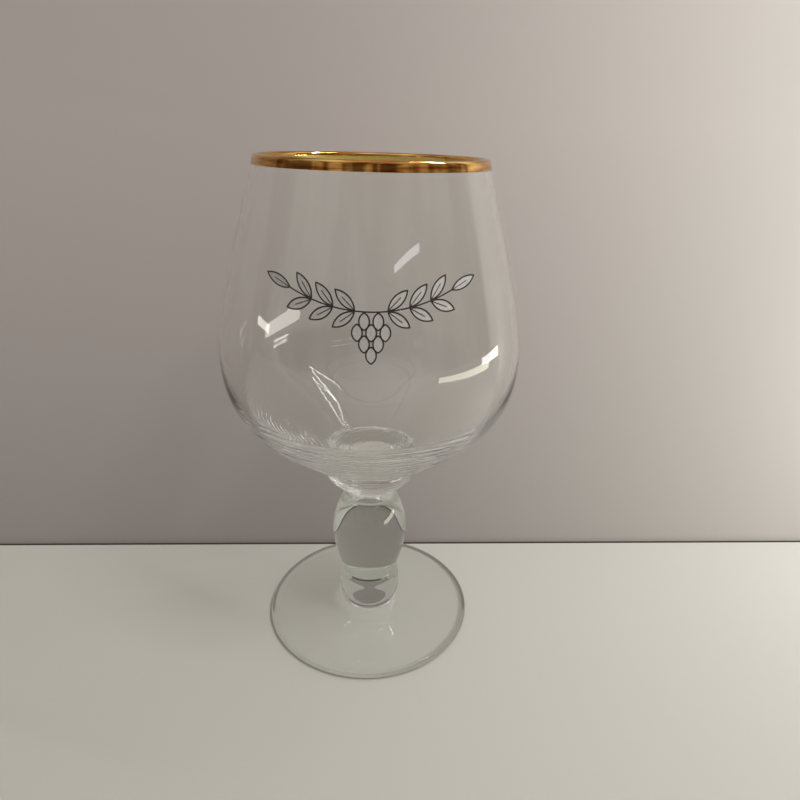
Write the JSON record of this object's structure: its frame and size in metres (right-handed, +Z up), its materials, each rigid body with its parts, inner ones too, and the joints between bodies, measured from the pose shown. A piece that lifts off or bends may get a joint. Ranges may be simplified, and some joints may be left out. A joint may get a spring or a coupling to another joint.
{
  "type": "beer glass",
  "caption": "Stemmed beer goblet: a clear glass bowl with a gilt lip and a printed garland, on a knopped stem and a round foot.",
  "frame": {"origin": "centre of the foot's underside, on the surface that the glass stands on", "axes": "+Z up along the axis of the glass, -Y towards the printed side"},
  "size_m": [0.093, 0.093, 0.1601],
  "materials": {
    "clear_glass": "clear, fire polished",
    "gold_film": "bright fired gold",
    "dark_enamel": "fired enamel, satin",
    "pale_enamel": "translucent fired enamel, satin"
  },
  "bodies": {
    "root": {"foot": "clear_glass", "foot_collar": "clear_glass", "knop": "clear_glass", "bowl_button": "clear_glass", "bowl": "clear_glass", "gold_rim": "gold_film", "print_outline": "dark_enamel", "print_fill": "pale_enamel"}
  },
  "joints": []
}
